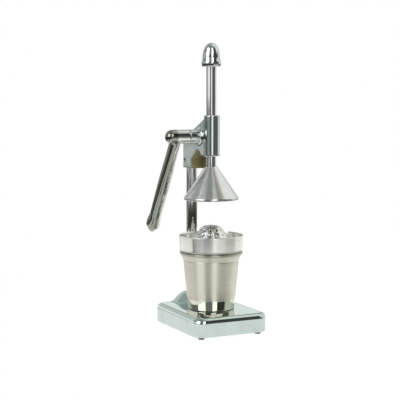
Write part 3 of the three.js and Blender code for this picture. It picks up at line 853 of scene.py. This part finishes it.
# Rings of holes in the dome: distance from the axis, height, tilt of the surface in degrees, and count.
HOLE_RINGS = [(8.5, 145.6, 15, 6), (16.2, 140.5, 50, 12), (20.3, 134.2, 58, 12), (25.6, 125.7, 57, 12)]
HOLE_RADIUS = 1.25
DIMPLE_RADIUS = 3.1
DIMPLE_DEPTH = 0.75


def hole_frames():
    """Middle and outward direction of each hole."""
    for radius, height, tilt, count in HOLE_RINGS:
        for i in range(count):
            angle = 2 * math.pi * i / count
            lean = math.radians(tilt)
            outward = (math.sin(lean) * math.cos(angle), math.sin(lean) * math.sin(angle), math.cos(lean))
            yield np.array([radius * math.cos(angle), radius * math.sin(angle), height]), np.array(outward)


def dimpled(points):
    """The sheet pressed in round each hole."""
    out = points.copy()
    for middle, outward in hole_frames():
        share = np.linalg.norm(points - middle, axis=1) / DIMPLE_RADIUS
        press = np.where(share < 1, (1 - np.minimum(share, 1) ** 2) ** 2, 0) * DIMPLE_DEPTH
        out -= press[:, None] * outward
    return out


def punches():
    """The holes' punches, as one mesh of bars."""
    points, faces = [], []
    for middle, outward in hole_frames():
        bar_points, bar_faces = lathe([(0, -4), (HOLE_RADIUS, -4), (HOLE_RADIUS, 4), (0, 4)], 20)
        turn = np.array(Vector((0, 0, 1)).rotation_difference(Vector(outward)).to_matrix())
        faces += [[v + len(points) for v in face] for face in bar_faces]
        points += [tuple(p) for p in bar_points @ turn.T + middle]
    return np.array(points), faces


def cut(obj, shape):
    points, faces = shape
    mesh = bpy.data.meshes.new("cutter")
    mesh.from_pydata([tuple(p) for p in place(points)], [], faces)
    cutter = bpy.data.objects.new("cutter", mesh)
    bpy.context.scene.collection.objects.link(cutter)
    modifier = obj.modifiers.new("holes", "BOOLEAN")
    modifier.operation = "DIFFERENCE"
    modifier.solver = "EXACT"
    modifier.object = cutter
    evaluated = obj.evaluated_get(bpy.context.evaluated_depsgraph_get())
    made = bpy.data.meshes.new_from_object(evaluated)
    obj.modifiers.clear()
    obj.data = made
    bpy.data.objects.remove(cutter)


strainer_points, strainer_faces = lathe(strainer_outline, 240)
strainer = piece(
    "strainer_bowl",
    (dimpled(strainer_points), strainer_faces),
    "strainer",
    strainer_metal,
    ["strainer"],
    sharp=40,
)
cut(strainer, punches())
finish_mesh(strainer, 40)


# ---- small CAD pieces keep their shape and get their finish ----

for nodes, material in (
    (["column_bolt", "column_washer", "column_set_screw", "cone_screw", "lever_set_screw", "pinion_pin"], steel),
    (["pinion", "pinion_shaft"], gear_metal),
    (["shaft_bush_left", "shaft_bush_right"], bronze),
):
    for node in nodes:
        data = frame["nodes"][node].data
        data.materials.clear()
        data.materials.append(material)


# ---- floor, light and camera ----

VIEW_AZIMUTH = math.radians(26.56)
CAMERA_DISTANCE = 1504.3
CAMERA_HEIGHT = 323.0
CAMERA_PITCH = math.radians(5.38)
CAMERA_YAW = math.radians(0.59)


def staged(name, points, faces, material):
    mesh = bpy.data.meshes.new(name)
    mesh.from_pydata([tuple(p) for p in place(points)], [], faces)
    mesh.materials.append(material)
    obj = bpy.data.objects.new(name, mesh)
    bpy.context.scene.collection.objects.link(obj)
    return obj


def glow(name, color, strength, diffuse=0.0):
    material = bpy.data.materials.new(name)
    material.use_nodes = True
    tree = material.node_tree
    shader = tree.nodes["Principled BSDF"]
    shader.inputs["Base Color"].default_value = (*(diffuse * c for c in color), 1)
    shader.inputs["Roughness"].default_value = 0.9
    shader.inputs["Specular IOR Level"].default_value = 0.0
    shader.inputs["Emission Color"].default_value = (*color, 1)
    shader.inputs["Emission Strength"].default_value = strength
    return material


FLOOR_EDGE = [
    (-60, 300), (-30, 400), (0, 400), (6, 430), (10, 760), (40, 760), (48, 620), (60, 470), (85, 470), (100, 900),
    (140, 1200), (180, 1200), (210, 1000), (220, 320), (240, 300), (260, 300), (282, 300), (284, 235), (298, 235),
]


def view_spot(turn, distance, height=0.0):
    """A place in press space, from its direction to the right of the camera's and its distance from the ram."""
    angle = math.radians(turn) - VIEW_AZIMUTH
    return (math.sin(angle) * distance, -math.cos(angle) * distance, height)


staged(
    "floor",
    [view_spot(turn, distance) for turn, distance in FLOOR_EDGE],
    [list(range(len(FLOOR_EDGE)))],
    glow("floor_white", (1.0, 1.0, 1.0), 0.94, 0.14),
)


CARD = [view_spot(turn, 300, height) for height in (14, 98) for turn in (-66, -84, -103, -122, -140)]
card = staged("card", CARD, [[i, i + 1, i + 6, i + 5] for i in range(4)], glow("card_white", (1.0, 1.0, 1.0), 0.98, 0.1))
card.visible_camera = False


def studio():
    """White to the camera. To the metal it is a room: two tall windows in front, a bright ceiling, a pale
    back wall, and dark corners and floor beyond the table."""
    world = bpy.data.worlds.new("studio")
    bpy.context.scene.world = world
    world.use_nodes = True
    tree = world.node_tree
    tree.nodes.clear()

    def add(kind, **settings):
        node = tree.nodes.new(kind)
        for key, value in settings.items():
            setattr(node, key, value)
        return node

    def maths(operation, a, b=0.0):
        node = add("ShaderNodeMath", operation=operation)
        for socket, value in zip(node.inputs, (a, b)):
            if isinstance(value, (int, float)):
                socket.default_value = value
            else:
                tree.links.new(value, socket)
        return node.outputs[0]

    def step(value, low, high):
        node = add("ShaderNodeMapRange", interpolation_type="SMOOTHSTEP")
        tree.links.new(value, node.inputs["Value"])
        node.inputs["From Min"].default_value = low
        node.inputs["From Max"].default_value = high
        return node.outputs[0]

    def band(value, low, high, soft):
        up = step(value, low - soft, low + soft)
        down = step(value, high - soft, high + soft)
        return maths("SUBTRACT", up, down)

    def over(below, share, color):
        node = add("ShaderNodeMix", data_type="RGBA")
        tree.links.new(share, node.inputs[0])
        if isinstance(below, tuple):
            node.inputs[6].default_value = (*below, 1)
        else:
            tree.links.new(below, node.inputs[6])
        node.inputs[7].default_value = (*color, 1)
        return node.outputs[2]

    direction = add("ShaderNodeTexCoord").outputs["Generated"]
    split = add("ShaderNodeSeparateXYZ")
    tree.links.new(direction, split.inputs[0])
    x, y, z = split.outputs
    # Degrees to the right of the direction from the press to the camera, and above the horizon.
    forward = maths(
        "ADD", maths("MULTIPLY", x, -math.sin(VIEW_AZIMUTH)), maths("MULTIPLY", y, -math.cos(VIEW_AZIMUTH))
    )
    right = maths(
        "ADD", maths("MULTIPLY", x, math.cos(VIEW_AZIMUTH)), maths("MULTIPLY", y, -math.sin(VIEW_AZIMUTH))
    )
    turn = maths("MULTIPLY", maths("ARCTAN2", right, forward), 180 / math.pi)
    rise = maths("MULTIPLY", maths("ARCSINE", z), 180 / math.pi)
    away = maths("ABSOLUTE", turn)

    def both(*shares):
        share = shares[0]
        for other in shares[1:]:
            share = maths("MULTIPLY", share, other)
        return share

    level = band(rise, -4, 13.5, 1)
    light = over((0.05, 0.05, 0.038), step(rise, -6, -3), (0.14, 0.14, 0.128))
    light = over(light, step(rise, 2, 9), (0.06, 0.068, 0.068))
    light = over(light, both(step(away, 85, 118), band(rise, -40, -4, 0.5)), (0.17, 0.172, 0.155))
    light = over(light, both(band(turn, 30, 100, 6), band(rise, -40, -9, 2)), (0.45, 0.46, 0.42))
    light = over(light, both(band(turn, -58, 4, 4), band(rise, -16, -8, 1.5)), (0.13, 0.15, 0.165))
    light = over(light, both(band(turn, -34, 12, 4), band(rise, 13, 46, 3)), (0.3, 0.32, 0.33))
    light = over(light, both(band(turn, -121, -70, 4), band(rise, -0.6, 13.5, 1)), (0.55, 0.57, 0.56))
    light = over(light, both(step(away, 119, 126), level), (0.6, 0.64, 0.61))
    light = over(light, both(step(away, 119, 126), band(rise, -2.4, 7, 0.6)), (0.42, 0.45, 0.43))
    light = over(light, both(step(away, 148, 166), band(rise, 7.5, 13.5, 1)), (0.92, 0.98, 0.95))
    light = over(light, both(band(turn, 98, 150, 9), step(rise, -5, -3)), (0.9, 0.95, 0.93))
    light = over(light, both(band(turn, 72, 150, 4), step(rise, 18, 34)), (0.95, 1.0, 0.98))
    light = over(light, both(step(away, 70, 76), band(rise, 13.5, 22, 1.5)), (0.34, 0.35, 0.29))
    light = over(light, both(step(away, 70, 80), step(rise, 21, 27)), (0.44, 0.48, 0.5))
    light = over(light, both(band(turn, -170, -119, 5), band(rise, 11, 40, 3)), (0.7, 0.76, 0.73))
    light = over(light, both(band(turn, -101, -88, 4), step(rise, 21, 27)), (0.34, 0.36, 0.36))
    light = over(light, both(band(turn, 76, 152, 5), step(rise, 6, 24)), (0.95, 1.0, 0.98))
    light = over(light, both(step(rise, 47, 58), band(turn, -86, 2, 5)), (0.32, 0.355, 0.375))
    light = over(light, both(step(rise, 47, 58), band(turn, 2, 66, 5)), (0.39, 0.39, 0.365))
    light = over(light, both(step(rise, 74, 84)), (0.36, 0.37, 0.36))
    light = over(light, both(step(rise, 46, 58), band(turn, 66, 160, 5)), (1.0, 1.0, 0.95))
    left_window = both(band(turn, -69, -29, 2.5), band(rise, -0.4, 46, 0.8))
    slant = maths("SUBTRACT", turn, maths("MULTIPLY", 0.5, maths("MINIMUM", maths("SUBTRACT", rise, 20.0), 0.0)))
    right_window = both(band(slant, 8, 30, 2.5), band(rise, -3.7, 49, 0.3))
    windows = maths("ADD", left_window, right_window)
    light = over(light, windows, (1.35, 1.35, 1.37))
    light = over(light, both(windows, step(rise, 4, 18)), (2.6, 2.6, 2.6))
    light = over(light, both(band(turn, -66, -31, 3), band(rise, -3.1, -0.5, 0.2)), (0.34, 0.36, 0.42))
    light = over(light, both(band(turn, -62, -32, 4), band(rise, -3.8, -3.1, 0.1)), (0.86, 0.97, 1.05))

    to_metal = add("ShaderNodeBackground")
    tree.links.new(light, to_metal.inputs[0])
    to_camera = add("ShaderNodeBackground")
    to_camera.inputs[0].default_value = (1, 1, 1, 1)
    pick = add("ShaderNodeMixShader")
    path = add("ShaderNodeLightPath")
    tree.links.new(path.outputs["Is Camera Ray"], pick.inputs[0])
    tree.links.new(to_metal.outputs[0], pick.inputs[1])
    tree.links.new(to_camera.outputs[0], pick.inputs[2])
    output = add("ShaderNodeOutputWorld")
    tree.links.new(pick.outputs[0], output.inputs[0])


studio()


def make_camera():
    data = bpy.data.cameras.new("camera")
    data.sensor_width = 36.0
    data.lens = 36.0 * 1087.1 / 400
    data.clip_end = 20.0
    camera = bpy.data.objects.new("camera", data)
    bpy.context.scene.collection.objects.link(camera)
    spot = place(
        (-math.sin(VIEW_AZIMUTH) * CAMERA_DISTANCE, -math.cos(VIEW_AZIMUTH) * CAMERA_DISTANCE, CAMERA_HEIGHT)
    )
    turn = Matrix.Rotation(CAMERA_YAW - VIEW_AZIMUTH, 4, "Z")
    tip = Matrix.Rotation(math.pi / 2 - CAMERA_PITCH, 4, "X")
    camera.matrix_world = Matrix.Translation(Vector(spot)) @ turn @ tip
    bpy.context.scene.camera = camera


make_camera()
bpy.context.scene.view_settings.view_transform = "Standard"
